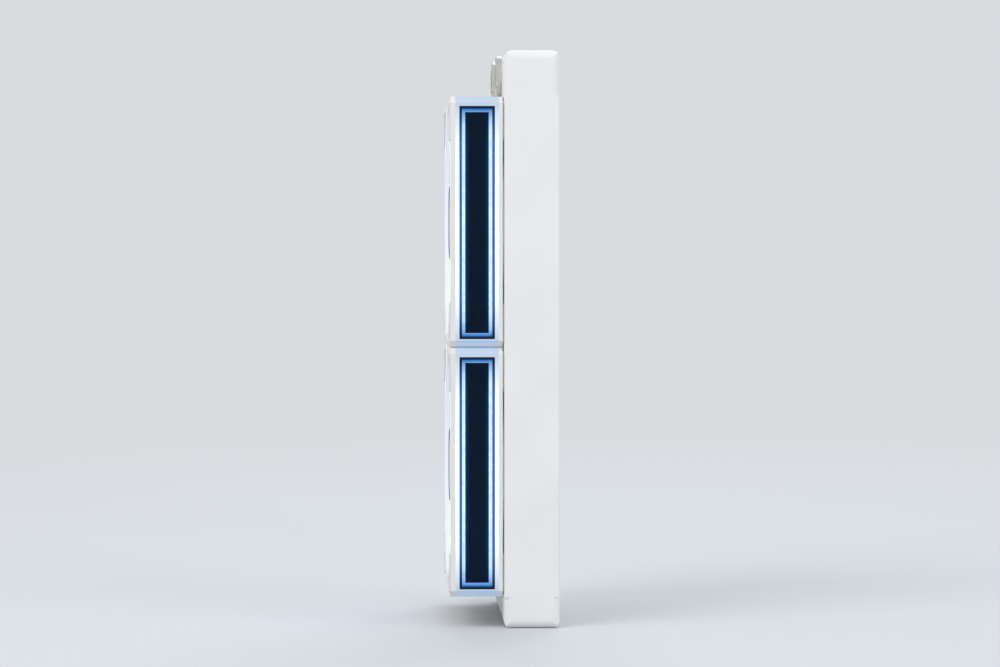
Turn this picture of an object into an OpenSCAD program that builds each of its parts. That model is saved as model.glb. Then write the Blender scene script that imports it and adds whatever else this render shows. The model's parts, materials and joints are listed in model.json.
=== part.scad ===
// Slim two-fan liquid cooling radiator with its pair of lit 120 mm fans.
// Frame: +X points at the panel that the radiator is screwed to, +Z up, and the
// origin is the middle of the panel-side screw pattern, on the radiator's face.

/* [Radiator] */
// Thickness of the radiator
rad_t = 27; // [26:1:32]
// Width of the radiator
rad_w = 120; // [120:1:124]
// Length of the tank that carries the hose ports
port_tank_l = 22; // [22:1:30]
// Length of the tank where the coolant turns round
return_tank_l = 15; // [12:1:24]
// Wall of both tanks
tank_wall = 1.2; // [0.8:0.1:1.6]
// Number of flat coolant tubes
tube_count = 12; // [8:1:14]
// Thickness of a flat tube
tube_t = 2; // [1.6:0.1:2.4]
// Depth of a flat tube along the air flow
tube_depth = 16; // [12:1:16]
// Length of one full fin fold
fin_pitch = 8; // [6:1:12]
// Thickness of the fin sheet
fin_t = 0.3; // [0.2:0.05:0.5]
// Width of a side channel's flange
flange_w = 13; // [11:1:15]

/* [Hose ports] */
// Distance between the two hose ports
port_spacing = 54; // [40:1:60]
// Thread bore of a hose port
port_bore_d = 11.8; // [11.4:0.1:12.2]
// Outside diameter of a port collar
port_collar_d = 20; // [18:0.5:20]
// Height of a port collar above the tank
port_collar_h = 3; // [2:0.5:5]

/* [Fans] */
// Square size of a fan, which is also the pitch of the pair
fan_size = 120; // [120:1:120]
// Thickness of a fan frame
fan_t = 25; // [25:1:28]
// Gap between the two fan frames
fan_gap = 0.3; // [0.2:0.1:0.6]
// Spacing of the fan screws
hole_spacing = 105; // [105:0.5:105]
// Diameter of the air bore
fan_bore_d = 108; // [106:1:109]
// Height of the corner pads above the frame face
pad_h = 0.6; // [0.4:0.1:1]
// Leg length of a corner pad
pad_leg = 21.6; // [18:0.1:23]
// Length of a fan screw under its head
fan_screw_l = 28; // [27:0.5:28]

/* [Edge lights] */
// Width of the milky light guide in a fan's edge
guide_w = 20.8; // [18:0.1:21]
// Width of the smoked mirror panel
mirror_w = 17; // [14:0.1:17]
// Height of the smoked mirror panel
mirror_h = 111.4; // [100:0.1:112]
// Width of the light line behind the mirror panel
led_w = 1.8; // [1:0.1:2.4]
// Width of the light lines on the fan face
face_line_w = 2; // [1.2:0.1:2.4]

/* [Rotor] */
// Number of fan blades
blade_count = 9; // [7:1:11]
// Diameter over the blade tips
blade_tip_d = 105.8; // [100:0.1:106]
// Diameter of the hub
hub_d = 36.2; // [34:0.1:38]
// Diameter of the rotor shaft
shaft_d = 3; // [2.5:0.1:3]
// Radial clearance of the shaft in its bearing
shaft_fit = 0.03; // [0.01:0.01:0.1]

/* [Hidden] */
$fn = 64;
eps = 0.01;

// Along Z the core spans both fans, and a tank closes each end of it.
core_h = 2 * fan_size;
header_t = 1.2;
top_z = core_h / 2;
tank_r = 4;
divider_t = 1.2;
channel_t = 1;
core_x = -rad_t / 2;
tube_wall = 0.35;
tube_past_header = 1;
side_plate_in = rad_w / 2 - 2.5;
fin_gap = (2 * side_plate_in - tube_count * tube_t) / (tube_count + 1);
tube_pitch = fin_gap + tube_t;

// Clinch nuts in the side channels, tapped M3.
nut_bore_r = 1.25;
nut_neck_r = 2.1;
nut_body_r = 2.7;
nut_depth = 3;

port_z = top_z + port_tank_l / 2;
port_spigot_r = port_collar_d / 2 - 1.5;
port_spigot_l = 5.8;
plug_y = 14;
plug_r = 4.9;
plug_head_r = 8;
plug_head_h = 2;
seal_h = 1;

// A fan is modelled flat: X across, Y up, Z from its front face to the radiator.
fan_half = (fan_size - fan_gap) / 2;
fan_chamfer = 3;
fan_bore_r = fan_bore_d / 2;
bore_lip = 1.7;
fan_front_x = -rad_t - pad_h - fan_t;
screw_hole_r = 2.2;
screw_head_r = 2.75;
recess_r = 4.1;
recess_depth = 1.7;
pad_inset = 1.75;
pad_r = 1.5;
pad_groove = 0.35;
pad_seat = 0.5;

guide_t = 3.6;
guide_z = (fan_t - guide_w) / 2 + 0.3;
guide_in = fan_half - guide_t;
mirror_t = 0.9;
mirror_drop = 0.1;
mirror_border = 1;
mirror_y = -0.4;
led_air = 0.1;
back_mirror_t = 0.4;
led_out_w = mirror_w - 2 * mirror_border;
led_out_h = mirror_h - 2 * mirror_border;
mirror_x = fan_half - mirror_drop - mirror_t;
face_line_depth = 1.4;
cap_h = 2.5;
cap_seam = 0.4;
contact_count = 7;
contact_pitch = 2.6;

strut_w = 4;
strut_z = 20;
motor_r = 20.5;
motor_wall = 1.2;
motor_wall_z = 18.8;
motor_plate_z = 23;
tube_r = 4.2;
bearing_r = 3;
bearing_z = [6.8, 20.9];
board_z = 18.6;
board_t = 1.2;
board_r = 15.5;

hub_r = hub_d / 2;
hub_wall = 1.4;
cup_z = [1.6, 17.6];
cup_t = 1.6;
hub_face_z = 0.8;
hub_light_out = 16.4;
hub_light_in = 13.3;
yoke_r = hub_r - hub_wall;
yoke_t = 0.8;
yoke_z = [cup_z[0] + cup_t, 16];
magnet_t = 1.6;
magnet_z = 6;
shaft_r = shaft_d / 2;
shaft_end = 22.2;
clip_z = 21.2;
clip_t = 0.5;
stator_r = 13.7;
stator_z = [8.5, 15.5];
coil_over = 1.2;

blade_root_r = hub_r - 0.7;
blade_tip_r = blade_tip_d / 2;
blade_rows = 7;
blade_cols = 6;

RADIATOR_PARTS = [
    "port_tank", "tank_divider", "return_tank", "header_plates", "coolant_tubes", "fins",
    "core_side_plates", "side_channel_front", "side_channel_rear", "fan_side_nuts",
    "case_side_nuts", "port_collars", "bleed_plug", "bleed_plug_seal"
];
FAN_PARTS = [
    "frame", "end_cap", "contacts", "edge_light_guides", "edge_mirrors", "edge_back_mirrors",
    "edge_led_strips", "face_light_guides", "corner_pads", "fan_screws", "impeller",
    "hub_ring", "hub_light_ring", "hub_mirror", "rotor_yoke", "magnet_ring", "shaft",
    "shaft_clip", "bearing", "stator_core", "coils", "motor_board", "hub_leds"
];
FANS = [["upper", fan_size / 2], ["lower", -fan_size / 2]];

white_paint = [0.92, 0.92, 0.91];
white_plastic = [0.88, 0.88, 0.87];
light_white = [0.93, 0.97, 1];
pale_blue = [0.7, 0.83, 0.95];
smoked = [0.04, 0.09, 0.14];
navy = [0.02, 0.12, 0.3];

// ---------- shared shapes ----------

// Rectangle centred on the origin with true round corners.
module round_rect(w, h, r) {
    square([w - 2 * r, h], center = true);
    square([w, h - 2 * r], center = true);
    for (sx = [-1, 1], sy = [-1, 1])
        translate([sx * (w / 2 - r), sy * (h / 2 - r)]) circle(r);
}

// Flat tube section: a bar with two round edges.
module stadium(w, t) {
    square([w - t, t], center = true);
    for (s = [-1, 1]) translate([s * (w - t) / 2, 0]) circle(t / 2);
}

module ring(r_out, r_in, h) {
    difference() {
        cylinder(r = r_out, h = h);
        translate([0, 0, -eps]) cylinder(r = r_in, h = h + 2 * eps);
    }
}

// Points a shape's Z axis along +X, and its Y axis up.
module along_x() {
    rotate([90, 0, 90]) children();
}

// The four corners of a square hole pattern.
module at_corners(spacing) {
    for (sx = [-1, 1], sy = [-1, 1])
        translate([sx * spacing / 2, sy * spacing / 2, 0]) children();
}

// The left and the right edge of a fan.
module both_edges() {
    for (s = [0, 1]) mirror([s, 0, 0]) children();
}

// ---------- radiator ----------

// Closed end of a tank, standing on z = 0, with its far edges rounded.
module tank_body(len, shrink) {
    x = rad_t - 2 * shrink;
    y = rad_w - 2 * shrink;
    z = len - shrink;
    r = tank_r - shrink;
    intersection() {
        linear_extrude(z) round_rect(x, y, r);
        translate([0, y, 0]) rotate([90, 0, 0]) linear_extrude(2 * y) round_rect(x, 2 * z, r);
        translate([-x, 0, 0]) along_x() linear_extrude(2 * x) round_rect(y, 2 * z, r);
    }
}

module tank_shell(len) {
    difference() {
        tank_body(len, 0);
        translate([0, 0, -eps]) tank_body(len + eps, tank_wall);
    }
}

module at_ports() {
    for (s = [-1, 1]) translate([-rad_t, s * port_spacing / 2, port_z]) along_x() children();
}

module port_tank() {
    color(white_paint)
    difference() {
        translate([core_x, 0, top_z + header_t]) tank_shell(port_tank_l - header_t);
        at_ports() translate([0, 0, -1]) cylinder(r = port_spigot_r, h = tank_wall + 2);
        translate([core_x, plug_y, top_z + port_tank_l - tank_wall - 1])
            cylinder(r = plug_r, h = tank_wall + 2);
    }
}

// Wall across the port tank that keeps the hot side from the cold side.
module tank_divider() {
    color("silver")
    intersection() {
        translate([core_x, 0, top_z + header_t]) tank_body(port_tank_l - header_t, tank_wall);
        translate([-rad_t, -divider_t / 2, top_z]) cube([rad_t, divider_t, port_tank_l]);
    }
}

module return_tank() {
    color(white_paint)
    translate([core_x, 0, -top_z - header_t])
    mirror([0, 0, 1]) tank_shell(return_tank_l - header_t);
}

module at_tubes() {
    for (i = [0 : tube_count - 1])
        translate([core_x, (i - (tube_count - 1) / 2) * tube_pitch, 0]) children();
}

module header_plates() {
    color(white_paint)
    for (s = [0, 1]) mirror([0, 0, s]) translate([0, 0, top_z]) difference() {
        translate([core_x, 0, 0]) linear_extrude(header_t) round_rect(rad_t, rad_w, tank_r);
        translate([0, 0, -1]) linear_extrude(header_t + 2) at_tubes() stadium(tube_depth, tube_t);
    }
}

module coolant_tubes() {
    half = top_z + header_t + tube_past_header;
    color("gainsboro")
    at_tubes() translate([0, 0, -half]) linear_extrude(2 * half) difference() {
        stadium(tube_depth, tube_t);
        stadium(tube_depth - 2 * tube_wall, tube_t - 2 * tube_wall);
    }
}

// One folded strip between two tubes, seen along the air flow. Fold i touches the
// tube on the left when i is even; a side's outer folds are flat, its inner ones sharp.
module fin_strip() {
    folds = 2 * floor((core_h - 1) / fin_pitch);
    rise = (core_h - 1 - fin_t) / folds;
    start = -folds * rise / 2 - fin_t / 2;
    w = fin_gap / 2;
    inner = w - fin_t / 2 * fin_gap / rise;
    function edge(side) = [for (i = [1 : folds - 1])
        let (s = i % 2 == 0 ? -1 : 1, z = start + i * rise)
        each s == side ? [[s * w, z], [s * w, z + fin_t]] : [[s * inner, z + fin_t / 2]]];
    right = concat([[-w, start]], edge(1), [[-w, -start]]);
    left = concat([[-w, start + fin_t]], edge(-1), [[-w, -start - fin_t]]);
    back = [for (i = [len(left) - 1 : -1 : 0]) left[i]];
    linear_extrude(tube_depth) polygon(concat(right, back));
}

module fins() {
    color(white_paint)
    for (i = [0 : tube_count])
        translate([core_x - tube_depth / 2, (i - tube_count / 2) * tube_pitch, 0])
            along_x() fin_strip();
}

module core_side_plates() {
    plate_t = rad_w / 2 - channel_t - side_plate_in;
    color("silver")
    for (s = [0, 1]) mirror([0, s, 0])
        translate([core_x - tube_depth / 2, side_plate_in, -top_z])
            cube([tube_depth, plate_t, core_h]);
}

// Places of the screws along one side channel.
module at_channel_screws() {
    for (f = FANS, s = [-1, 1])
        translate([0, hole_spacing / 2, f[1] + s * hole_spacing / 2]) children();
}

module channel_section() {
    bend = 1.6;
    inner = rad_t - 2 * channel_t;
    difference() {
        translate([-rad_t / 2, 0]) round_rect(rad_t, 2 * flange_w, bend);
        translate([-rad_t - 1, -flange_w - 1]) square([rad_t + 2, flange_w + 1]);
        translate([-rad_t / 2, 0])
            round_rect(inner, 2 * (flange_w - channel_t), bend - channel_t);
    }
}

// U channel on the +Y side of the core, its flanges level with both faces.
module side_channel() {
    difference() {
        translate([0, rad_w / 2 - flange_w, -top_z]) linear_extrude(core_h) channel_section();
        at_channel_screws() translate([-rad_t - 1, 0, 0])
            along_x() cylinder(r = nut_neck_r, h = rad_t + 2);
    }
}

module side_channel_front() {
    color(white_paint) mirror([0, 1, 0]) side_channel();
}

module side_channel_rear() {
    color(white_paint) side_channel();
}

// Clinch nut whose face is at z = 0 and whose body lies towards +Z.
module clinch_nut() {
    difference() {
        union() {
            cylinder(r = nut_neck_r, h = channel_t);
            translate([0, 0, channel_t]) cylinder(r = nut_body_r, h = nut_depth);
        }
        translate([0, 0, -1]) cylinder(r = nut_bore_r, h = channel_t + nut_depth + 2);
    }
}

module fan_side_nuts() {
    color("silver")
    for (s = [0, 1]) mirror([0, s, 0]) at_channel_screws()
        translate([-rad_t, 0, 0]) along_x() clinch_nut();
}

module case_side_nuts() {
    color("silver")
    for (s = [0, 1]) mirror([0, s, 0]) at_channel_screws()
        mirror([1, 0, 0]) along_x() clinch_nut();
}

// Threaded hose collars, each with a spigot through the tank wall.
module port_collars() {
    lip = 0.8;
    depth = port_spigot_l + tank_wall;
    color("lightgray")
    at_ports() difference() {
        union() {
            translate([0, 0, -port_collar_h + lip])
                cylinder(d = port_collar_d, h = port_collar_h - lip);
            translate([0, 0, -port_collar_h])
                cylinder(d1 = port_collar_d - 2 * lip, d2 = port_collar_d, h = lip);
            cylinder(r = port_spigot_r, h = depth);
        }
        translate([0, 0, -port_collar_h - 1])
            cylinder(d = port_bore_d, h = port_collar_h + depth + 2);
    }
}

// Plug of the filling hole, with a hexagon socket.
module bleed_plug() {
    shank = 8;
    edge = 0.5;
    color("lightgray")
    translate([core_x, plug_y, top_z + port_tank_l]) difference() {
        union() {
            translate([0, 0, -shank]) cylinder(r = plug_r, h = shank + seal_h);
            translate([0, 0, seal_h]) cylinder(r = plug_head_r, h = plug_head_h - edge);
            translate([0, 0, seal_h + plug_head_h - edge])
                cylinder(r1 = plug_head_r, r2 = plug_head_r - edge, h = edge);
        }
        translate([0, 0, seal_h + plug_head_h - 4]) cylinder(r = 3.2, h = 5, $fn = 6);
    }
}

module bleed_plug_seal() {
    color("dimgray")
    translate([core_x, plug_y, top_z + port_tank_l]) ring(plug_head_r - 0.8, plug_r, seal_h);
}

// ---------- fan, fixed parts ----------

module fan_outline() {
    a = fan_half;
    c = fan_chamfer;
    polygon([
        [a, a - c], [a - c, a], [c - a, a], [-a, a - c],
        [-a, c - a], [c - a, -a], [a - c, -a], [a, c - a]
    ]);
}

// Right triangle with round corners that fills one corner of the fan face.
module pad_outline(grow) {
    c = fan_half - pad_inset + grow;
    leg = pad_leg + grow * (2 + sqrt(2));
    r = pad_r + grow;
    near = c - r;
    far = c - leg + r * (1 + sqrt(2));
    d = r / sqrt(2);
    polygon([[near, c], [far, c], [far - d, near - d], [near - d, far - d], [c, far], [c, near]]);
    for (p = [[near, near], [far, near], [near, far]]) translate(p) circle(r);
}

module at_pads() {
    for (sx = [0, 1], sy = [0, 1]) mirror([sx, 0, 0]) mirror([0, sy, 0]) children();
}

// One light line of the fan face: up the side, with both ends turned inwards.
module face_line() {
    points = [[29, 58.3], [57.1, 30.8], [57.1, -30.8], [29, -58.3]];
    w = face_line_w;
    for (i = [0 : 2]) {
        step = points[i + 1] - points[i];
        translate(points[i]) rotate(atan2(step[1], step[0]))
            translate([0, -w / 2]) square([norm(step), w]);
    }
    for (p = [points[1], points[2]]) translate(p) circle(w / 2);
}

module face_lines(depth) {
    for (s = [0, 1]) mirror([s, 0, 0]) linear_extrude(depth) face_line();
}

// The slot in one edge of the frame that holds the light guide.
module guide_block(h) {
    translate([guide_in, -h / 2, guide_z]) cube([guide_t + 1, h, guide_w]);
}

module motor_mount() {
    difference() {
        union() {
            translate([0, 0, motor_plate_z]) cylinder(r = motor_r, h = fan_t - motor_plate_z);
            translate([0, 0, motor_wall_z])
                ring(motor_r, motor_r - motor_wall, motor_plate_z - motor_wall_z + eps);
            translate([0, 0, board_z + board_t])
                cylinder(r = tube_r + 1, h = motor_plate_z - board_z - board_t + eps);
            translate([0, 0, bearing_z[0] - 0.3])
                cylinder(r = tube_r, h = motor_plate_z - bearing_z[0] + 0.3);
        }
        translate([0, 0, bearing_z[0] - 1])
            cylinder(r = bearing_r, h = motor_plate_z - bearing_z[0] + 1);
    }
}

module struts() {
    inner = motor_r - motor_wall / 2;
    for (a = [45 : 90 : 315]) rotate(a)
        translate([inner, -strut_w / 2, strut_z])
            cube([fan_bore_r + 0.6 - inner, strut_w, fan_t - strut_z]);
}

// Long keyways that let the next fan of a stack slide on.
module keyways(y_from, depth) {
    for (sx = [-1, 1])
        translate([sx * 34 - 14, y_from, fan_t / 2 - 1.5]) cube([28, depth, 3]);
}

module fan_body() {
    difference() {
        linear_extrude(fan_t) fan_outline();
        translate([0, 0, -1]) cylinder(r = fan_bore_r, h = fan_t + 2);
        for (s = [0, 1]) translate([0, 0, s * fan_t]) mirror([0, 0, s]) translate([0, 0, -eps])
            cylinder(r1 = fan_bore_r + bore_lip, r2 = fan_bore_r, h = bore_lip);
    }
}

module frame() {
    color(white_plastic)
    difference() {
        union() {
            fan_body();
            struts();
            motor_mount();
        }
        both_edges() guide_block(2 * fan_half + 2);
        translate([0, 0, -1]) face_lines(face_line_depth + 1);
        at_corners(hole_spacing) {
            translate([0, 0, -1]) cylinder(r = screw_hole_r, h = fan_t + 2);
            translate([0, 0, -1]) cylinder(r = recess_r, h = recess_depth + 1);
        }
        for (s = [0, 1]) translate([0, 0, s * fan_t]) mirror([0, 0, s]) translate([0, 0, -1])
            linear_extrude(pad_seat + 1) at_pads() pad_outline(pad_groove);
        translate([-guide_in, -fan_half - 1, guide_z]) cube([2 * guide_in, cap_h + 1, guide_w]);
        translate([-11, fan_half - cap_h, fan_t / 2 - 2.5]) cube([22, cap_h + 1, 5]);
        keyways(fan_half - 1.6, 3);
    }
}

// Cover on the lower end of the fan, where the next fan plugs in.
module end_cap() {
    color(white_plastic)
    difference() {
        translate([-guide_in + 0.1, -fan_half, guide_z + 0.1])
            cube([2 * guide_in - 0.2, cap_h - cap_seam / 2, guide_w - 0.2]);
        translate([-11, -fan_half - 1, fan_t / 2 - 2.5]) cube([22, 1.5, 5]);
        keyways(-fan_half - 1, 2.2);
    }
}

// Spring pins in the upper end and flat pads in the lower end.
module contacts() {
    color("gold")
    for (i = [0 : contact_count - 1]) {
        x = (i - (contact_count - 1) / 2) * contact_pitch;
        translate([x, fan_half - cap_h, fan_t / 2])
            rotate([-90, 0, 0]) cylinder(r = 0.6, h = cap_h + 0.2);
        translate([x - 0.8, -fan_half + 0.2, fan_t / 2 - 1.8]) cube([1.6, 0.3, 3.6]);
    }
}

// Flat panel lying in the edge of the fan, from depth x0 to depth x1.
module edge_panel(w, h, x0, x1) {
    translate([x0, mirror_y - h / 2, guide_z + (guide_w - w) / 2]) cube([x1 - x0, h, w]);
}

module edge_light_guides() {
    color(light_white)
    both_edges() difference() {
        intersection() {
            guide_block(2 * fan_half);
            linear_extrude(fan_t) fan_outline();
        }
        edge_panel(mirror_w, mirror_h, mirror_x, fan_half + 1);
        edge_panel(led_out_w, led_out_h, guide_in - 1, mirror_x + 1);
        translate([fan_half - 1.4, -fan_half + cap_h - cap_seam / 2, guide_z - 1])
            cube([3, cap_seam, guide_w + 2]);
    }
}

module edge_mirrors() {
    color(smoked)
    both_edges() edge_panel(mirror_w, mirror_h, mirror_x, mirror_x + mirror_t);
}

module edge_back_mirrors() {
    color("silver")
    both_edges() edge_panel(led_out_w, led_out_h, guide_in, guide_in + back_mirror_t);
}

module edge_led_strips() {
    color(pale_blue)
    both_edges() difference() {
        edge_panel(led_out_w, led_out_h, guide_in + back_mirror_t, mirror_x - led_air);
        edge_panel(led_out_w - 2 * led_w, led_out_h - 2 * led_w, guide_in - 1, mirror_x + 1);
    }
}

module face_light_guides() {
    color(light_white) face_lines(face_line_depth);
}

module corner_pads() {
    color(white_plastic)
    for (s = [0, 1]) translate([0, 0, s * fan_t]) mirror([0, 0, s]) difference() {
        translate([0, 0, -pad_h]) linear_extrude(pad_h + pad_seat) at_pads() pad_outline(0);
        at_corners(hole_spacing) translate([0, 0, -pad_h - 1])
            cylinder(r = s == 0 ? recess_r : screw_hole_r, h = pad_h + pad_seat + 2);
    }
}

// Pan-head screw through a fan corner into the radiator's nut.
module fan_screw() {
    head_h = 2.2;
    round_h = 0.7;
    thread_z = fan_t + pad_h - recess_depth;
    translate([0, 0, recess_depth]) difference() {
        union() {
            translate([0, 0, round_h - head_h]) cylinder(r = screw_head_r, h = head_h - round_h);
            translate([0, 0, -head_h])
                cylinder(r1 = screw_head_r - round_h, r2 = screw_head_r, h = round_h);
            cylinder(r = 1.45, h = thread_z);
            cylinder(r = 1.2, h = fan_screw_l);
        }
        for (a = [0, 90]) rotate(a)
            translate([-1.6, -0.4, -head_h - 1]) cube([3.2, 0.8, 2.2]);
    }
}

module fan_screws() {
    color("dimgray") at_corners(hole_spacing) fan_screw();
}

module bearing() {
    color("peru")
    translate([0, 0, bearing_z[0]])
        ring(bearing_r, shaft_r + shaft_fit, bearing_z[1] - bearing_z[0]);
}

// Four-pole core of pressed sheets round the bearing tube.
module stator_core() {
    h = stator_z[1] - stator_z[0];
    color("slategray")
    translate([0, 0, stator_z[0]]) difference() {
        union() {
            cylinder(r = 6.4, h = h);
            for (a = [0, 90]) rotate(a) translate([-12.4, -2, 0]) cube([24.8, 4, h]);
            difference() {
                ring(stator_r, 11.9, h);
                for (a = [45, 135]) rotate(a) translate([-20, -1.3, -1]) cube([40, 2.6, h + 2]);
            }
        }
        translate([0, 0, -1]) cylinder(r = tube_r, h = h + 2);
    }
}

module coils() {
    h = stator_z[1] - stator_z[0];
    from = 6.8;
    color("chocolate")
    for (a = [0 : 90 : 270]) rotate(a)
        translate([from, 0, stator_z[0] + h / 2]) along_x() linear_extrude(4.1) difference() {
            round_rect(8.8, h + 2 * coil_over, 2);
            square([4.1, h + 0.1], center = true);
        }
}

module motor_board() {
    color("seagreen")
    translate([0, 0, board_z]) {
        ring(board_r, tube_r + 0.1, board_t);
        translate([7, -3.2, board_t - eps]) cube([5, 6.4, 1.1]);
        for (s = [-1, 1]) translate([-9.6, s * 3 - 1, board_t - eps]) cube([3.2, 1.8, 1]);
    }
}

// Light chips of the hub, in a circle on the motor board.
module hub_leds() {
    color("white")
    for (a = [22.5 : 45 : 360]) rotate(a)
        translate([11.6, -1.1, board_z - 0.8]) cube([2.2, 2.2, 0.8]);
}

// ---------- fan, turning parts ----------

// A blade is a grid of points: u runs from root to tip, s from front to back edge.
function blade_turn(u) = 6 - 26 * pow(u, 1.4);
function blade_span(u) = 33 - 5 * u;
function blade_front(u) = 2.6 + 2.2 * u * u;
function blade_back(u) = 16.9 - 2.6 * u;
function blade_half_t(u, s) = (0.95 - 0.35 * u) * (0.3 + 0.7 * sin(180 * s));
function blade_point(u, s, side) =
    let (r = blade_root_r + (blade_tip_r - blade_root_r) * u,
         turn = blade_turn(u) + blade_span(u) * (0.5 - s),
         z = blade_front(u) + (blade_back(u) - blade_front(u)) * pow(s, 1.25))
    [r * cos(turn), r * sin(turn), z + side * blade_half_t(u, s)];

module blade() {
    cols = blade_cols + 1;
    half = blade_rows * cols + cols;
    points = [for (side = [-1, 1], i = [0 : blade_rows], j = [0 : blade_cols])
        blade_point(i / blade_rows, j / blade_cols, side)];
    cells = [for (i = [0 : blade_rows - 1], j = [0 : blade_cols - 1]) i * cols + j];
    front = [for (k = cells) each [[k, k + 1, k + cols + 1], [k, k + cols + 1, k + cols]]];
    back = [for (t = front) [t[0] + half, t[2] + half, t[1] + half]];
    edge_a = [for (i = [0 : blade_rows - 1]) [i * cols, (i + 1) * cols]];
    edge_b = [for (i = [0 : blade_rows - 1])
        [(i + 1) * cols + blade_cols, i * cols + blade_cols]];
    edge_c = [for (j = [0 : blade_cols - 1]) [j + 1, j]];
    edge_d = [for (j = [0 : blade_cols - 1])
        [blade_rows * cols + j, blade_rows * cols + j + 1]];
    rim = [for (e = concat(edge_a, edge_b, edge_c, edge_d))
        each [[e[0], e[1], e[1] + half], [e[0], e[1] + half, e[0] + half]]];
    polyhedron(points, concat(front, back, rim));
}

module impeller() {
    color(pale_blue)
    union() {
        translate([0, 0, cup_z[0]]) difference() {
            cylinder(r = hub_r, h = cup_z[1] - cup_z[0]);
            translate([0, 0, cup_t]) cylinder(r = yoke_r, h = cup_z[1]);
        }
        for (i = [0 : blade_count - 1]) rotate(i * 360 / blade_count) blade();
    }
}

module hub_ring() {
    edge = 0.4;
    color(navy)
    translate([0, 0, hub_face_z - 0.1]) difference() {
        union() {
            cylinder(r1 = hub_r - edge, r2 = hub_r, h = edge);
            translate([0, 0, edge]) cylinder(r = hub_r, h = cup_z[0] - hub_face_z + 0.1 - edge);
        }
        translate([0, 0, -1]) cylinder(r = hub_light_out, h = 4);
    }
}

module hub_light_ring() {
    color(light_white)
    translate([0, 0, hub_face_z + 0.1])
        ring(hub_light_out, hub_light_in, cup_z[0] - hub_face_z - 0.1);
}

module hub_mirror() {
    color(navy)
    translate([0, 0, hub_face_z]) cylinder(r = hub_light_in, h = cup_z[0] - hub_face_z);
}

// Steel cup that carries the magnet and holds the shaft.
module rotor_yoke() {
    boss_r = 3.4;
    color("silver")
    difference() {
        union() {
            translate([0, 0, yoke_z[0]]) difference() {
                cylinder(r = yoke_r, h = yoke_z[1] - yoke_z[0]);
                translate([0, 0, yoke_t]) cylinder(r = yoke_r - yoke_t, h = yoke_z[1]);
            }
            translate([0, 0, yoke_z[0]]) cylinder(r = boss_r, h = 3);
        }
        translate([0, 0, yoke_z[0] - 1]) cylinder(r = shaft_r, h = 6);
    }
}

module magnet_ring() {
    color("dimgray")
    translate([0, 0, magnet_z])
        ring(yoke_r - yoke_t, yoke_r - yoke_t - magnet_t, yoke_z[1] - magnet_z);
}

module shaft() {
    groove = 0.3;
    color("silver")
    difference() {
        translate([0, 0, yoke_z[0]]) cylinder(r = shaft_r, h = shaft_end - yoke_z[0]);
        translate([0, 0, clip_z]) ring(shaft_r + 1, shaft_r - groove, clip_t);
    }
}

// Snap ring at the shaft's end, with one open gap.
module shaft_clip() {
    color("silver")
    translate([0, 0, clip_z]) difference() {
        ring(2.6, shaft_r - 0.3, clip_t);
        translate([0, -0.5, -1]) cube([4, 1, 3]);
    }
}

module fan_part(p) {
    if (p == "frame") frame();
    if (p == "end_cap") end_cap();
    if (p == "contacts") contacts();
    if (p == "edge_light_guides") edge_light_guides();
    if (p == "edge_mirrors") edge_mirrors();
    if (p == "edge_back_mirrors") edge_back_mirrors();
    if (p == "edge_led_strips") edge_led_strips();
    if (p == "face_light_guides") face_light_guides();
    if (p == "corner_pads") corner_pads();
    if (p == "fan_screws") fan_screws();
    if (p == "impeller") impeller();
    if (p == "hub_ring") hub_ring();
    if (p == "hub_light_ring") hub_light_ring();
    if (p == "hub_mirror") hub_mirror();
    if (p == "rotor_yoke") rotor_yoke();
    if (p == "magnet_ring") magnet_ring();
    if (p == "shaft") shaft();
    if (p == "shaft_clip") shaft_clip();
    if (p == "bearing") bearing();
    if (p == "stator_core") stator_core();
    if (p == "coils") coils();
    if (p == "motor_board") motor_board();
    if (p == "hub_leds") hub_leds();
}

port_tank();
tank_divider();
return_tank();
header_plates();
coolant_tubes();
fins();
core_side_plates();
side_channel_front();
side_channel_rear();
fan_side_nuts();
case_side_nuts();
port_collars();
bleed_plug();
bleed_plug_seal();
for (f = FANS, p = FAN_PARTS)
    translate([fan_front_x, 0, f[1]]) along_x() fan_part(p);
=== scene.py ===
import json
import math

import bmesh
import bpy
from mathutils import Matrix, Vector


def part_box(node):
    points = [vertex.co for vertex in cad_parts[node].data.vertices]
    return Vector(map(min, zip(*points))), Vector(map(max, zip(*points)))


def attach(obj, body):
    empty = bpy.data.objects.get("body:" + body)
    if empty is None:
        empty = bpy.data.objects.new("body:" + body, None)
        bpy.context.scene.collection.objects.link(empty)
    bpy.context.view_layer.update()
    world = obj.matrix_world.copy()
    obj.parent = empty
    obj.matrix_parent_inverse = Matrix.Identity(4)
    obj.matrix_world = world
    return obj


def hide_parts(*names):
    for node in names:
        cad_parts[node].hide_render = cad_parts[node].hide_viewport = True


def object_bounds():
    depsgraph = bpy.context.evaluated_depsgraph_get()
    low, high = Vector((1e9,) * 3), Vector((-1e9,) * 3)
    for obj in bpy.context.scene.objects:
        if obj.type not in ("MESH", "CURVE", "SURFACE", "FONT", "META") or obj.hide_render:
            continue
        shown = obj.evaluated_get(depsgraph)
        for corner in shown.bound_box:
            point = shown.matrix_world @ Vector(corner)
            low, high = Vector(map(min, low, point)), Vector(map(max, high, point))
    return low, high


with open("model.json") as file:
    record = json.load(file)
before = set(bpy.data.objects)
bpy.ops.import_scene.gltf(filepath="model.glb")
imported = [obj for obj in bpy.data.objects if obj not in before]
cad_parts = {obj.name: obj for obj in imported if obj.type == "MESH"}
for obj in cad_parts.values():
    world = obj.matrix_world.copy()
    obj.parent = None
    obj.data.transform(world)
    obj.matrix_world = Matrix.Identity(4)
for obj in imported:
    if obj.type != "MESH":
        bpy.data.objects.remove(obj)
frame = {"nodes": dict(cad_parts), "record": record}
cad_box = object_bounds()

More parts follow.
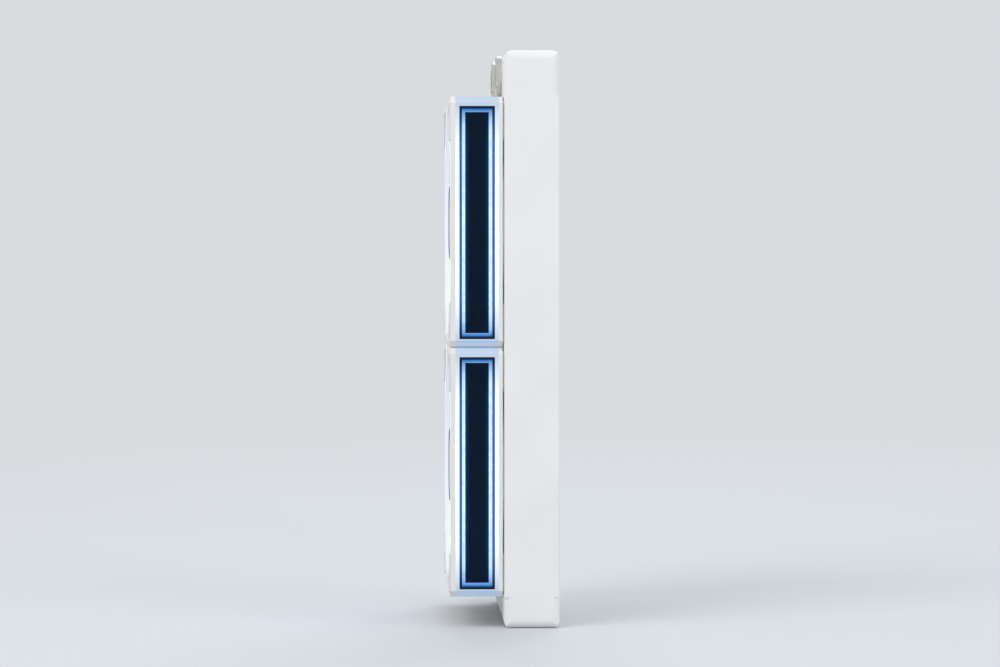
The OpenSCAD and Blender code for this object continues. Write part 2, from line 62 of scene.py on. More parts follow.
MM = 0.001
FANS = ("upper", "lower")
FAN_HALF = 60 * MM
LIGHT_LINE_HALF = 56 * MM
BLADE_REACH = 53 * MM
SLOT_OF = {row["node"]: row["material_slot"] for row in frame["record"]["subparts"]}


def middle(node):
    low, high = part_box(node)
    return (low + high) / 2


def srgb(r, g, b):
    """A colour as it looks on screen, in the linear numbers that shaders take."""
    return tuple(c / 12.92 if c <= 0.04045 else ((c + 0.055) / 1.055) ** 2.4 for c in (r, g, b))


WHITE = (1.0, 1.0, 1.0)
OFF_WHITE = srgb(0.89, 0.885, 0.875)
PAD_WHITE = srgb(0.90, 0.905, 0.91)
RADIATOR_WHITE = srgb(0.915, 0.915, 0.912)
PALE_BLUE = srgb(0.70, 0.83, 0.95)
LIGHT_BLUE = srgb(0.55, 0.76, 0.97)
DEEP_BLUE = srgb(0.16, 0.52, 0.82)
NAVY = srgb(0.0, 0.19, 0.41)
MIRROR_NAVY = srgb(0.04, 0.11, 0.17)
BORDER_NAVY = srgb(0.0, 0.09, 0.19)
HUB_TEAL = srgb(0.0, 0.25, 0.41)
NICKEL = srgb(0.86, 0.85, 0.83)
BACKDROP = srgb(0.85, 0.86, 0.87)
FLOOR = srgb(0.80, 0.81, 0.82)

# Where most of a noise texture's values lie. A span over them uses the whole range given.
NOISE_LOW, NOISE_HIGH = 0.3, 0.7
TINT_LOW, TINT_HIGH = 0.35, 0.65  # narrower, so that two tints meet in clearer patches


# ---------- materials ----------

class Look:
    """A material under construction, with short ways to add and join its nodes."""

    def __init__(self, name, color, rough, metallic=0.0, **fixed):
        self.mat = bpy.data.materials.new(name)
        self.mat.use_nodes = True
        self.tree = self.mat.node_tree
        self.shader = self.tree.nodes["Principled BSDF"]
        self.put("Base Color", color)
        self.put("Roughness", rough)
        self.put("Metallic", metallic)
        for key, value in fixed.items():
            self.put(key.replace("_", " "), value)

    def node(self, kind, **settings):
        made = self.tree.nodes.new(kind)
        for key, value in settings.items():
            setattr(made, key, value)
        return made

    def feed(self, socket, value):
        """Joins a socket to another, or gives it a plain number or colour."""
        if isinstance(value, bpy.types.NodeSocket):
            self.tree.links.new(value, socket)
        elif isinstance(value, (tuple, list)):
            socket.default_value = (*value, 1.0) if len(socket.default_value) == 4 else value
        else:
            socket.default_value = value

    def put(self, socket_name, value):
        self.feed(self.shader.inputs[socket_name], value)

    def math(self, operation, a, b=0.0):
        made = self.node("ShaderNodeMath", operation=operation)
        self.feed(made.inputs[0], a)
        self.feed(made.inputs[1], b)
        return made.outputs[0]

    def blend(self, factor, a, b):
        made = self.node("ShaderNodeMix", data_type="RGBA")
        self.feed(made.inputs[0], factor)
        self.feed(made.inputs[6], a)
        self.feed(made.inputs[7], b)
        return made.outputs[2]

    def ramp(self, factor, stops):
        """Colour along a line: stops are (place, colour) pairs, and a plain number is a grey."""
        made = self.node("ShaderNodeValToRGB")
        points = made.color_ramp.elements
        while len(points) < len(stops):
            points.new(0.5)
        for point, (place, color) in zip(points, stops):
            point.position = place
            point.color = (*color, 1.0) if isinstance(color, tuple) else (color, color, color, 1.0)
        self.feed(made.inputs[0], factor)
        return made.outputs[0]

    def span(self, value, low, high, to_low=0.0, to_high=1.0):
        made = self.node("ShaderNodeMapRange", clamp=True)
        for socket, number in zip(made.inputs, (value, low, high, to_low, to_high)):
            self.feed(socket, number)
        return made.outputs[0]

    def place(self):
        """Where a point is on the piece at rest, in metres."""
        return self.node("ShaderNodeTexCoord").outputs["Object"]

    def xyz(self):
        made = self.node("ShaderNodeSeparateXYZ")
        self.feed(made.inputs[0], self.place())
        return made.outputs

    def noise(self, grain, detail=2.0, rough=0.5, stretch=(1, 1, 1)):
        """Noise whose grain is that many metres across."""
        spread = self.node("ShaderNodeMapping")
        self.feed(spread.inputs["Vector"], self.place())
        self.feed(spread.inputs["Scale"], stretch)
        made = self.node("ShaderNodeTexNoise")
        self.feed(made.inputs["Vector"], spread.outputs[0])
        self.feed(made.inputs["Scale"], 1 / grain)
        self.feed(made.inputs["Detail"], detail)
        self.feed(made.inputs["Roughness"], rough)
        return made.outputs["Fac"]

    def bump(self, height, depth, strength=1.0):
        made = self.node("ShaderNodeBump")
        self.feed(made.inputs["Height"], height)
        self.feed(made.inputs["Distance"], depth)
        self.feed(made.inputs["Strength"], strength)
        self.put("Normal", made.outputs[0])

    def speckle(self, grain, low, high, detail=2.0):
        """Noise between two values."""
        return self.span(self.noise(grain, detail), NOISE_LOW, NOISE_HIGH, low, high)

    def vary_roughness(self, low, high, grain):
        self.put("Roughness", self.speckle(grain, low, high, 3.0))

    def vary_color(self, a, b, grain):
        share = self.span(self.noise(grain, 3.0), TINT_LOW, TINT_HIGH)
        self.put("Base Color", self.blend(share, a, b))

    def mix_with(self, other, factor):
        """Mixes in another shader: only that one shows where factor is 0, only this one at 1."""
        joined = self.node("ShaderNodeMixShader")
        self.feed(joined.inputs[0], factor)
        self.feed(joined.inputs[1], other.outputs[0])
        self.feed(joined.inputs[2], self.shader.outputs[0])
        self.feed(self.tree.nodes["Material Output"].inputs["Surface"], joined.outputs[0])

    def glow(self, color, strength):
        self.put("Emission Color", color)
        self.put("Emission Strength", strength)


def tint(color, factor):
    return tuple(c * factor for c in color)


def hypotenuse(look, a, b):
    squares = look.math("MULTIPLY", a, a), look.math("MULTIPLY", b, b)
    return look.math("SQRT", look.math("ADD", *squares))


def distance_from(look, node):
    """How far a point is from a fan's middle along the fan's edge, in metres."""
    return look.math("ABSOLUTE", look.math("SUBTRACT", look.xyz()[2], middle(node)[2]))


def radius_from(look, node):
    """How far a point is from a fan's axis, in metres."""
    _, y, z = look.xyz()[0:3]
    up = look.math("SUBTRACT", z, middle(node)[2])
    return hypotenuse(look, y, up)


def from_port_axis(look):
    """How far a point is from the axis of the nearer hose port, in metres."""
    low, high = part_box("port_collars")
    spacing = (high.y - low.y) - (high.z - low.z)
    _, y, z = look.xyz()[0:3]
    across = look.math("SUBTRACT", look.math("ABSOLUTE", y), spacing / 2)
    return hypotenuse(look, across, look.math("SUBTRACT", z, (low.z + high.z) / 2))


def from_plug_axis(look):
    """How far a point is from the bleed plug's axis, in metres."""
    centre = middle("bleed_plug")
    x, y, _ = look.xyz()[0:3]
    return hypotenuse(look, look.math("SUBTRACT", x, centre.x), look.math("SUBTRACT", y, centre.y))


def powder_coat(name, color):
    look = Look(name, color, 0.5, Specular_IOR_Level=0.5)
    look.vary_color(tint(color, 0.96), color, 35 * MM)
    look.vary_roughness(0.42, 0.58, 6 * MM)
    look.bump(look.noise(0.9 * MM, 3.0, 0.55), 0.05 * MM, 0.7)
    return look


def moulded_plastic(name, color, rough=0.46):
    """Off-white housing plastic with the fine grain of an eroded mould."""
    look = Look(name, color, rough, Specular_IOR_Level=0.45)
    look.vary_color(tint(color, 0.965), color, 22 * MM)
    look.vary_roughness(rough - 0.05, rough + 0.08, 3 * MM)
    look.bump(look.noise(0.35 * MM, 2.0, 0.6), 0.02 * MM, 0.8)
    return look


def lit_plastic(fan):
    """Housing plastic, with the light of the impeller on the bore, struts and motor cup."""
    look = moulded_plastic(f"fan_plastic_{fan}", OFF_WHITE)
    out = radius_from(look, f"{fan}_frame")
    strength = look.ramp(look.math("DIVIDE", out, FAN_HALF), [
        (0.0, 0.3), (0.35, 0.25), (0.75, 0.06), (0.86, 0.12),
        (0.898, 0.28), (0.927, 0.15), (0.932, 0.0), (1.0, 0.0)])
    look.glow(srgb(0.72, 0.84, 1.0), strength)
    return look


def lit_core_paint(name, color):
    """Paint of the fins and tubes, with fan light on the first millimetres of their depth."""
    look = powder_coat(name, color)
    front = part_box("fins")[0].x
    strength = look.span(look.xyz()[0], front, front + 8 * MM, 0.20, 0.0)
    look.glow(srgb(0.80, 0.89, 1.0), strength)
    return look


def mark_metal(look, marks, color, dark, rough_low, rough_high, depth):
    """Colour, roughness and bump from one set of marks: rolling streaks or turned rings."""
    level = look.span(marks, NOISE_LOW, NOISE_HIGH)
    look.put("Roughness", look.span(marks, NOISE_LOW, NOISE_HIGH, rough_low, rough_high))
    look.put("Base Color", look.blend(level, tint(color, dark), color))
    look.bump(marks, depth, 0.6)


def metal(name, color, rough, stretch=(1, 1, 1), depth=0.006 * MM):
    look = Look(name, color, rough, 1.0)
    streaks = look.noise(0.4 * MM, 4.0, 0.6, stretch)
    mark_metal(look, streaks, color, 0.86, rough - 0.07, rough + 0.1, depth)
    return look


def turned_metal(name, color, rough, axis_distance):
    """Nickel plate over turning marks that run round an axis."""
    look = Look(name, color, rough, 1.0)
    out = axis_distance(look)
    rings = look.node("ShaderNodeTexNoise", noise_dimensions="1D")
    look.feed(rings.inputs["W"], look.math("DIVIDE", out, 0.22 * MM))
    look.feed(rings.inputs["Detail"], 3.0)
    mark_metal(look, rings.outputs["Fac"], color, 0.9, rough - 0.05, rough + 0.08, 0.008 * MM)
    return look


def dark_plastic(name, color, rough):
    look = Look(name, color, rough, Coat_Weight=0.4, Coat_Roughness=0.08)
    look.vary_roughness(rough, rough + 0.12, 8 * MM)
    look.vary_color(color, tint(color, 1.5), 12 * MM)
    return look


def rubber(name):
    look = Look(name, srgb(0.13, 0.13, 0.135), 0.75)
    look.vary_roughness(0.65, 0.85, 2 * MM)
    look.bump(look.noise(0.5 * MM), 0.02 * MM)
    return look


WIRE_WAVE_SCALE = 1 / (3.15 * MM)  # the wave texture then repeats about every millimetre


def copper_wire(name):
    look = Look(name, srgb(0.83, 0.48, 0.28), 0.3, 0.9)
    waves = look.node("ShaderNodeTexWave", bands_direction="X")
    look.feed(waves.inputs["Vector"], look.place())
    look.feed(waves.inputs["Scale"], WIRE_WAVE_SCALE)
    wire = waves.outputs["Fac"]
    look.bump(wire, 0.12 * MM)
    # Darker where the bump sinks between the turns: painted shade in the grooves of the winding,
    # with the copper's own colour on the crests.
    look.put("Base Color", look.blend(wire, srgb(0.5, 0.24, 0.12), srgb(0.87, 0.5, 0.3)))
    return look


def solder_mask(name):
    look = Look(name, srgb(0.06, 0.25, 0.17), 0.3, Coat_Weight=0.5, Coat_Roughness=0.1)
    tracks = look.node("ShaderNodeTexVoronoi", feature="DISTANCE_TO_EDGE")
    look.feed(tracks.inputs["Vector"], look.place())
    look.feed(tracks.inputs["Scale"], 1 / (2.6 * MM))
    edge = look.math("LESS_THAN", tracks.outputs["Distance"], 0.07)
    look.put("Base Color", look.blend(edge, srgb(0.05, 0.22, 0.15), srgb(0.10, 0.36, 0.24)))
    look.bump(edge, 0.03 * MM, 0.5)
    return look


def edge_diffuser(fan):
    """Milky light guide: white in the middle of its length, pale blue at both ends."""
    look = Look(f"edge_diffuser_{fan}", tint(WHITE, 0.35), 0.4,
                Coat_Weight=0.3, Coat_Roughness=0.15)
    away = distance_from(look, f"{fan}_frame")
    mottle = look.speckle(9 * MM, 0.96, 1.04)
    color = look.ramp(look.math("DIVIDE", away, FAN_HALF), [
        (0.0, WHITE), (0.60, srgb(0.95, 0.975, 1.0)), (0.86, srgb(0.74, 0.86, 0.98)),
        (0.93, srgb(0.62, 0.77, 0.93)), (1.0, srgb(0.60, 0.75, 0.91))])
    strength = look.span(away, 30 * MM, 56 * MM, 0.85, 0.52)
    look.glow(color, look.math("MULTIPLY", strength, mottle))
    look.bump(look.noise(0.5 * MM), 0.01 * MM)
    return look


def light_line(fan):
    """Light line behind the mirror panel: white along the sides, blue at the short ends."""
    look = Look(f"edge_light_line_{fan}", tint(PALE_BLUE, 0.4), 0.3)
    away = distance_from(look, f"{fan}_edge_mirrors")
    color = look.ramp(look.math("DIVIDE", away, LIGHT_LINE_HALF), [
        (0.0, srgb(0.97, 0.985, 1.0)), (0.75, srgb(0.90, 0.955, 1.0)),
        (0.90, srgb(0.74, 0.88, 1.0)), (0.95, LIGHT_BLUE), (0.968, DEEP_BLUE), (1.0, DEEP_BLUE)])
    beads = look.speckle(2.6 * MM, 0.9, 1.1, 1.0)
    strength = look.span(away, 44 * MM, 53.5 * MM, 5.2, 3.4)
    look.glow(color, look.math("MULTIPLY", strength, beads))
    return look


def face_line(name):
    look = Look(name, tint(WHITE, 0.5), 0.35)
    look.glow(srgb(0.86, 0.94, 1.0), look.speckle(14 * MM, 1.9, 2.4, 1.0))
    return look


MIRROR_BORDER = 1.25 * MM
MIRROR_SHARE = 0.35  # of the light that meets the panel is mirrored
MIRROR_METALLIC = 0.85


def edge_mirror(fan):
    """Smoked half mirror with a painted border. Inside the border, light goes through darkened."""
    look = Look(f"smoked_mirror_{fan}", MIRROR_NAVY, 0.03, MIRROR_METALLIC, Specular_IOR_Level=0.25)
    look.vary_roughness(0.02, 0.05, 20 * MM)
    node = f"{fan}_edge_mirrors"
    low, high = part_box(node)
    half_width, half_height = (high.x - low.x) / 2, (high.z - low.z) / 2
    off_middle = look.math("ABSOLUTE", look.math("SUBTRACT", look.xyz()[0], (low.x + high.x) / 2))
    along = distance_from(look, node)
    rim = look.math(
        "MAXIMUM",
        look.math("GREATER_THAN", off_middle, half_width - MIRROR_BORDER),
        look.math("GREATER_THAN", along, half_height - MIRROR_BORDER))

    clear = look.node("ShaderNodeBsdfTransparent")
    look.feed(clear.inputs["Color"], srgb(0.80, 0.83, 0.87))
    look.mix_with(clear, look.blend(rim, (MIRROR_SHARE,) * 3, WHITE))
    look.put("Base Color", look.blend(rim, tint(MIRROR_NAVY, 1.2), BORDER_NAVY))
    look.put("Metallic", look.math("MULTIPLY", look.math("SUBTRACT", 1.0, rim), MIRROR_METALLIC))

    # The long light lines spill light on the panel beside them, up to their ends.
    beside = look.span(off_middle, half_width - 5.5 * MM, half_width - 3 * MM)
    strength = look.math(
        "MULTIPLY", look.span(along, 38 * MM, 53 * MM, 1.0, 0.0), look.math("POWER", beside, 2.0))
    look.glow(look.blend(rim, srgb(0.0, 0.27, 0.50), srgb(0.10, 0.40, 0.70)), strength)
    return look


def back_mirror(name):
    look = Look(name, srgb(0.47, 0.57, 0.66), 0.06, 1.0)
    look.vary_roughness(0.04, 0.09, 15 * MM)
    return look


def lit_blades(fan):
    """Milky blades lit from the hub: white there, pale blue out to the rim."""
    look = Look(f"lit_blades_{fan}", srgb(0.74, 0.81, 0.93), 0.32,
                Coat_Weight=0.25, Coat_Roughness=0.2)
    share = look.math("DIVIDE", radius_from(look, f"{fan}_frame"), BLADE_REACH)
    color = look.ramp(share, [
        (0.0, WHITE), (0.40, srgb(0.97, 0.985, 1.0)), (0.62, srgb(0.80, 0.88, 1.0)),
        (1.0, srgb(0.60, 0.74, 0.97))])
    look.glow(color, look.ramp(share, [(0.0, 1.0), (0.36, 0.8), (0.6, 0.26), (1.0, 0.10)]))
    look.bump(look.noise(1.5 * MM), 0.01 * MM)
    return look


def hub_light(fan):
    """Light ring round the hub's mirror disc: blue at its inner edge, white at its outer one."""
    look = Look(f"hub_light_{fan}", tint(PALE_BLUE, 0.35), 0.25,
                Coat_Weight=0.5, Coat_Roughness=0.05)
    out = radius_from(look, f"{fan}_frame")
    color = look.ramp(look.span(out, 13.3 * MM, 16.4 * MM), [
        (0.0, srgb(0.42, 0.62, 0.96)), (0.45, srgb(0.72, 0.84, 1.0)), (1.0, srgb(0.90, 0.95, 1.0))])
    look.glow(color, 0.62)
    return look


def hub_mirror(name):
    look = Look(name, tint(HUB_TEAL, 0.8), 0.05, 0.9, Coat_Weight=0.2, Coat_Roughness=0.02)
    look.vary_roughness(0.03, 0.07, 10 * MM)
    # The teal glow is painted light on the mirror disc, standing in for the hub's light seen in it.
    look.glow(HUB_TEAL, 0.26)
    return look


def plain_light(name):
    look = Look(name, tint(WHITE, 0.6), 0.3)
    look.glow(srgb(0.85, 0.93, 1.0), look.speckle(1 * MM, 2.5, 3.5))
    return look


SHARED_LOOKS = {
    "radiator_paint": powder_coat("radiator_paint", RADIATOR_WHITE),
    "fin_paint": lit_core_paint("fin_paint", srgb(0.96, 0.96, 0.958)),
    "tube_metal": lit_core_paint("tube_paint", srgb(0.90, 0.90, 0.90)),
    "core_metal": metal("rolled_aluminium", srgb(0.84, 0.845, 0.85), 0.34, stretch=(1, 1, 0.05)),
    "nut_steel": metal("zinc_steel", srgb(0.78, 0.78, 0.79), 0.3),
    "port_nickel": turned_metal("turned_nickel", NICKEL, 0.2, from_port_axis),
    "plug_nickel": turned_metal("turned_nickel_plug", NICKEL, 0.2, from_plug_axis),
    "seal_rubber": rubber("seal_rubber"),
    "pad_plastic": moulded_plastic("pad_plastic", PAD_WHITE, 0.6),
    "back_mirror": back_mirror("back_mirror"),
    "face_light_line": face_line("face_light_line"),
    "contact_gold": metal("contact_gold", srgb(0.95, 0.80, 0.45), 0.2),
    "screw_black": metal("black_zinc", srgb(0.16, 0.16, 0.17), 0.34),
    "hub_navy": dark_plastic("hub_navy", NAVY, 0.18),
    "hub_mirror": hub_mirror("hub_mirror"),
    "yoke_steel": metal("drawn_steel", srgb(0.76, 0.76, 0.77), 0.32, stretch=(0.1, 1, 1)),
    "magnet": dark_plastic("bonded_ferrite", srgb(0.15, 0.145, 0.145), 0.6),
    "shaft_steel": metal("ground_steel", srgb(0.85, 0.85, 0.86), 0.16),
    "bearing_bronze": metal("sintered_bronze", srgb(0.72, 0.53, 0.33), 0.42),
    "stator_steel": metal("pressed_sheets", srgb(0.55, 0.55, 0.56), 0.4,
                          stretch=(12, 1, 1), depth=0.05 * MM),
    "coil_copper": copper_wire("enamelled_copper"),
    "board_mask": solder_mask("solder_mask"),
    "led_chip": plain_light("led_chip"),
}
FAN_LOOKS = {
    fan: {
        "fan_plastic": lit_plastic(fan),
        "edge_diffuser": edge_diffuser(fan),
        "smoked_mirror": edge_mirror(fan),
        "edge_light_line": light_line(fan),
        "impeller_plastic": lit_blades(fan),
        "hub_light": hub_light(fan),
    }
    for fan in FANS
}


def look_for(node):
    """A CAD node's look, by its material slot. The plug's turning marks have their own axis."""
    slot = "plug_nickel" if node == "bleed_plug" else SLOT_OF[node]
    fan = node.split("_")[0]
    return SHARED_LOOKS.get(slot) or FAN_LOOKS[fan][slot]


for name, thing in frame["nodes"].items():
    for place in thing.material_slots:
        place.material = look_for(name).mat


# ---------- pieces made here ----------

def add_piece(name, mesh_builder, body, look, replaces=()):
    mesh = bpy.data.meshes.new(name)
    mesh_builder.normal_update()
    mesh_builder.to_mesh(mesh)
    mesh_builder.free()
    piece = bpy.data.objects.new(name, mesh)
    bpy.context.scene.collection.objects.link(piece)
    mesh.materials.append(look.mat)
    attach(piece, body)
    if replaces:
        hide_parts(*replaces)
    return piece


def smooth(piece, angle=35):
    piece.data.shade_smooth()
    piece.data.set_sharp_from_angle(angle=math.radians(angle))


def grid_solid(builder, front, back):
    """Closes two equal grids of points into one solid."""
    rows, cols = len(front), len(front[0])
    f = [[builder.verts.new(p) for p in row] for row in front]
    b = [[builder.verts.new(p) for p in row] for row in back]
    for i in range(rows - 1):
        for j in range(cols - 1):
            builder.faces.new((f[i][j], f[i][j + 1], f[i + 1][j + 1], f[i + 1][j]))
            builder.faces.new((b[i][j], b[i + 1][j], b[i + 1][j + 1], b[i][j + 1]))
    for i in range(rows - 1):
        builder.faces.new((f[i][0], f[i + 1][0], b[i + 1][0], b[i][0]))
        builder.faces.new((f[i + 1][-1], f[i][-1], b[i][-1], b[i + 1][-1]))
    for j in range(cols - 1):
        builder.faces.new((f[0][j + 1], f[0][j], b[0][j], b[0][j + 1]))
        builder.faces.new((f[-1][j], f[-1][j + 1], b[-1][j + 1], b[-1][j]))


LATHE_STEPS = 128


def lathe(builder, profile, centre):
    """Turns a closed outline of (radius, x) points about the fan's axis."""
    rings = []
    for k in range(LATHE_STEPS):
        turn = 2 * math.pi * k / LATHE_STEPS
        rings.append([
            builder.verts.new((x, centre.y + r * math.cos(turn), centre.z + r * math.sin(turn)))
            for r, x in profile])
    count = len(profile)
    for k in range(LATHE_STEPS):
        here, there = rings[k], rings[(k + 1) % LATHE_STEPS]
        for j in range(count):
            n = (j + 1) % count
            builder.faces.new((here[j], here[n], there[n], there[j]))


BLADES = 9
BLADE_ROWS = 26
BLADE_COLS = 18
# The CAD blade's rule: angles in degrees, and lengths in millimetres from the frame's front face.
ROOT_TURN, SWEEP, SWEEP_POWER = 6, 26, 1.4
ROOT_SPAN, SPAN_LOSS = 33, 5
ROOT_FRONT, FRONT_RISE = 2.6, 2.2
ROOT_BACK, BACK_DROP = 16.9, 2.6
CAMBER_POWER = 1.25
SHALLOWEST, DEEPEST = 1.7, 17.5
# Half of a blade's thickness: at the root, lost out to the tip, added by the fillet, and the
# share left at both edges.
HALF_ROOT, HALF_LOSS, HALF_FILLET = 0.95, 0.35, 0.45
FILLET_REACH = 1.6 * MM
EDGE_SHARE, EDGE_POWER = 0.12, 0.7


def blade_grids(front_x, centre, root_r, tip_r, turn0):
    """The two faces of one blade, by the same rule as the CAD blade."""
    faces = ([], [])
    for i in range(BLADE_ROWS + 1):
        u = i / BLADE_ROWS
        r = root_r + (tip_r - root_r) * u
        turn = ROOT_TURN - SWEEP * u ** SWEEP_POWER
        span = ROOT_SPAN - SPAN_LOSS * u
        front = ROOT_FRONT + FRONT_RISE * u * u
        back = ROOT_BACK - BACK_DROP * u
        fillet = HALF_FILLET * math.exp(-(r - root_r) / FILLET_REACH)
        rows = ([], [])
        for j in range(BLADE_COLS + 1):
            s = j / BLADE_COLS
            angle = math.radians(turn0 + turn + span * (0.5 - s))
            depth = front + (back - front) * s ** CAMBER_POWER
            bulge = EDGE_SHARE + (1 - EDGE_SHARE) * math.sin(math.pi * s) ** EDGE_POWER
            half = (HALF_ROOT - HALF_LOSS * u + fillet) * bulge
            for side, row in zip((-1, 1), rows):
                x = front_x + min(max(depth + side * half, SHALLOWEST), DEEPEST) * MM
                row.append((x, centre.y + r * math.cos(angle), centre.z + r * math.sin(angle)))
        faces[0].append(rows[0])
        faces[1].append(rows[1])
    return faces


HUB_WALL = 1.4 * MM
HUB_FLOOR = 1.6 * MM
HUB_EDGE = 0.5 * MM
SHAFT_HOLE_R = 2.0 * MM
BLADE_SEAT = 0.7 * MM


def make_impeller(fan):
    """Blades seated in the wall of a hub cup that opens towards the radiator."""
    builder = bmesh.new()
    node = f"{fan}_impeller"
    centre = middle(f"{fan}_frame")
    front_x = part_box(f"{fan}_frame")[0].x
    ring_low, ring_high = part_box(f"{fan}_hub_ring")
    hub_r = (ring_high.z - ring_low.z) / 2
    low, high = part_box(node)
    tip_r = (high.z - low.z) / 2
    for k in range(BLADES):
        front, back = blade_grids(front_x, centre, hub_r - BLADE_SEAT, tip_r, k * 360 / BLADES)
        grid_solid(builder, front, back)
    x0, x1 = low.x, high.x
    lathe(builder, [
        (SHAFT_HOLE_R, x0), (hub_r - 0.02 * MM, x0), (hub_r, x0 + HUB_EDGE),
        (hub_r, x1 - HUB_EDGE), (hub_r - HUB_EDGE / 2, x1), (hub_r - HUB_WALL, x1),
        (hub_r - HUB_WALL, x0 + HUB_FLOOR), (SHAFT_HOLE_R, x0 + HUB_FLOOR)], centre)
    piece = add_piece(f"{fan}_blades_and_hub", builder, f"{fan}_rotor",
                      FAN_LOOKS[fan]["impeller_plastic"], [node])
    smooth(piece)


FIN_STRIPS = 13
TUBE_T = 2.0 * MM
FIN_FOLD = 1.5 * MM
FIN_SHEET = 0.2 * MM
FIN_FLAT = 1.0 * MM  # plain strip at both faces of the core
LOUVRES = 6
LOUVRE_LEAN = 0.28 * MM
SLAT_SHARE = 0.92
# Places across a fin wall from tube to tube, and 1 where the louvres stand out of it.
WALL_PLACES = ((0.0, 0), (0.12, 0), (0.16, 1), (0.84, 1), (0.88, 0), (1.0, 0))


def make_fins():
    """Folded strips between the tubes, each wall with slanted louvres."""
    builder = bmesh.new()
    low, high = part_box("fins")
    pitch = (high.y - low.y + TUBE_T) / FIN_STRIPS
    gap = pitch - TUBE_T
    folds = 2 * round((high.z - low.z) / FIN_FOLD / 2)
    rise = (high.z - low.z - FIN_SHEET) / folds
    slat = (high.x - low.x - 2 * FIN_FLAT) / LOUVRES
    depths = [(low.x, 0.0)]
    for k in range(LOUVRES):
        lean = LOUVRE_LEAN if k < LOUVRES / 2 else -LOUVRE_LEAN
        start = low.x + FIN_FLAT + k * slat
        depths += [(start, -lean), (start + slat * SLAT_SHARE, lean)]
    depths += [(high.x, 0.0)]
    for strip in range(FIN_STRIPS):
        y0 = low.y + strip * pitch
        for fold in range(folds):
            from_left = fold % 2 == 0
            ya, yb = (y0, y0 + gap) if from_left else (y0 + gap, y0)
            za = low.z + fold * rise
            under, over = [], []
            for x, shift in depths:
                line = [(ya + (yb - ya) * share, za + rise * share + on * shift)
                        for share, on in WALL_PLACES]
                under.append([(x, y, z) for y, z in line])
                over.append([(x, y, z + FIN_SHEET) for y, z in line])
            grid_solid(builder, under, over)
    add_piece("folded_louvre_fins", builder, "radiator", SHARED_LOOKS["fin_paint"],
              ["fins"])


COLLAR_R = 10 * MM
PORT_BORE_R = 5.9 * MM
THREAD_PITCH = 1.337 * MM
THREAD_DEPTH = 0.55 * MM
THREAD_START = 0.5 * MM
THREAD_TURNS = 6.5
THREAD_STEPS = 40  # points on a turn
THREAD_FADE = THREAD_STEPS / 3  # points over which a ridge rises and falls
THREAD_SEAT = 0.02 * MM  # how far a ridge's root lies in the collar's wall


def make_port_threads():
    """Helical ridges of the two hose ports, standing in from the plain bores."""
    builder = bmesh.new()
    low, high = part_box("port_collars")
    half_spread = (high.y - low.y) / 2 - COLLAR_R
    count = int(THREAD_STEPS * THREAD_TURNS)
    for side in (-1, 1):
        centre = Vector((0, side * half_spread, (low.z + high.z) / 2))
        root_a, root_b, crest_a, crest_b = [], [], [], []
        for k in range(count + 1):
            turn = 2 * math.pi * k / THREAD_STEPS
            x = low.x + THREAD_START + THREAD_PITCH * k / THREAD_STEPS
            fade = min(1.0, k / THREAD_FADE, (count - k) / THREAD_FADE)
            root_r = PORT_BORE_R + THREAD_SEAT
            crest_r = PORT_BORE_R - THREAD_DEPTH * fade
            for row, r, shift in ((root_a, root_r, 0.0), (crest_a, crest_r, 0.45),
                                  (crest_b, crest_r, 0.60), (root_b, root_r, 0.98)):
                row.append((x + shift * THREAD_PITCH, centre.y + r * math.cos(turn),
                            centre.z + r * math.sin(turn)))
        grid_solid(builder, [crest_a, crest_b], [root_a, root_b])
    bmesh.ops.recalc_face_normals(builder, faces=builder.faces)
    piece = add_piece("port_threads", builder, "radiator",
                      SHARED_LOOKS["port_nickel"])
    smooth(piece, 40)


for fan in FANS:
    make_impeller(fan)
make_fins()
make_port_threads()


# ---------- stage, light and camera ----------

FLOOR_HALF = 30.0
FADE_FROM, FADE_TO = 0.3, 1.8  # metres from the part


def make_floor():
    """Pale floor that turns into the colour of the backdrop far away, so no horizon shows."""
    mesh = bpy.data.meshes.new("floor")
    far, z = FLOOR_HALF, cad_box[0][2]
    corners = [(-far, -far, z), (far, -far, z), (far, far, z), (-far, far, z)]
    mesh.from_pydata(corners, [], [(0, 1, 2, 3)])
    floor = bpy.data.objects.new("floor", mesh)
    bpy.context.scene.collection.objects.link(floor)
    look = Look("floor", FLOOR, 0.8)
    look.vary_color(tint(FLOOR, 0.98), FLOOR, 0.4)
    x, y, _ = look.xyz()[0:3]
    away = hypotenuse(look, x, y)
    backdrop = look.node("ShaderNodeEmission")
    look.feed(backdrop.inputs["Color"], BACKDROP)
    look.mix_with(backdrop, look.span(away, FADE_FROM, FADE_TO, 1.0, 0.0))
    mesh.materials.append(look.mat)


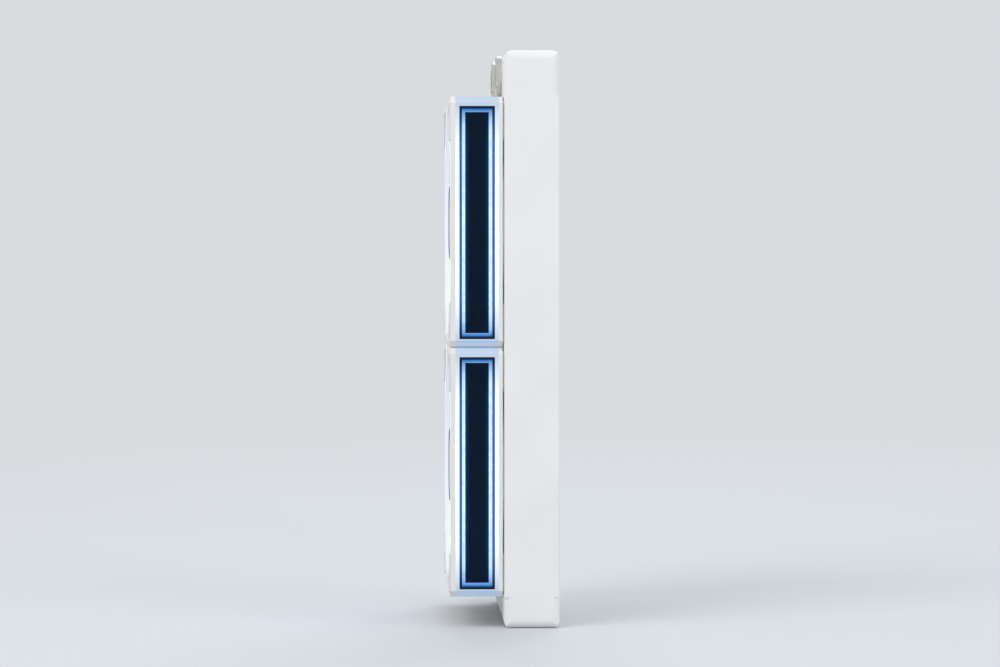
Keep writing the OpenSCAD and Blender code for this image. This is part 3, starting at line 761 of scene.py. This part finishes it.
def area_light(name, place, target, size, power, color):
    data = bpy.data.lights.new(name, "AREA")
    data.shape = "RECTANGLE"
    data.size, data.size_y = size
    data.energy = power
    data.color = color
    light = bpy.data.objects.new(name, data)
    light.location = place
    light.rotation_euler = (target - Vector(place)).to_track_quat("-Z", "Y").to_euler()
    bpy.context.scene.collection.objects.link(light)


LIGHTS = (  # name, place, size in metres, watts, colour
    ("key", (-1.5, -1.3, 1.6), (1.4, 1.4), 26, srgb(1.0, 0.985, 0.97)),
    ("fill", (1.6, -1.2, 0.9), (1.4, 1.4), 12, srgb(0.93, 0.965, 1.0)),
    ("back", (0.3, 1.7, 1.5), (1.6, 1.0), 16, srgb(0.95, 0.975, 1.0)),
)


def make_lights(target):
    for name, place, size, power, color in LIGHTS:
        area_light(name, place, target, size, power, color)
    world = bpy.data.worlds.new("studio")
    bpy.context.scene.world = world
    world.use_nodes = True
    sky = world.node_tree.nodes["Background"]
    sky.inputs["Color"].default_value = (*BACKDROP, 1.0)
    sky.inputs["Strength"].default_value = 1.0


CAMERA_ASIDE, CAMERA_AWAY, CAMERA_HEIGHT = 0.048, 1.553, 0.048
CAMERA_LENS, CAMERA_SENSOR, CAMERA_REACH = 117.0, 36.0, 50.0


def make_camera(target):
    """Level with the fans and almost straight at their edges, as in the photograph."""
    front_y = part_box("upper_frame")[0].y
    fans_x = middle("upper_frame").x
    place = Vector((fans_x - CAMERA_ASIDE, front_y - CAMERA_AWAY, CAMERA_HEIGHT))
    data = bpy.data.cameras.new("camera")
    data.sensor_width = CAMERA_SENSOR
    data.lens = CAMERA_LENS
    data.clip_end = CAMERA_REACH
    camera = bpy.data.objects.new("camera", data)
    camera.location = place
    camera.rotation_euler = (target - place).to_track_quat("-Z", "Y").to_euler()
    bpy.context.scene.collection.objects.link(camera)
    bpy.context.scene.camera = camera


centre_of_part = (Vector(cad_box[0]) + Vector(cad_box[1])) / 2
make_floor()
make_lights(centre_of_part)
make_camera(centre_of_part)
bpy.context.scene.view_settings.view_transform = "Standard"
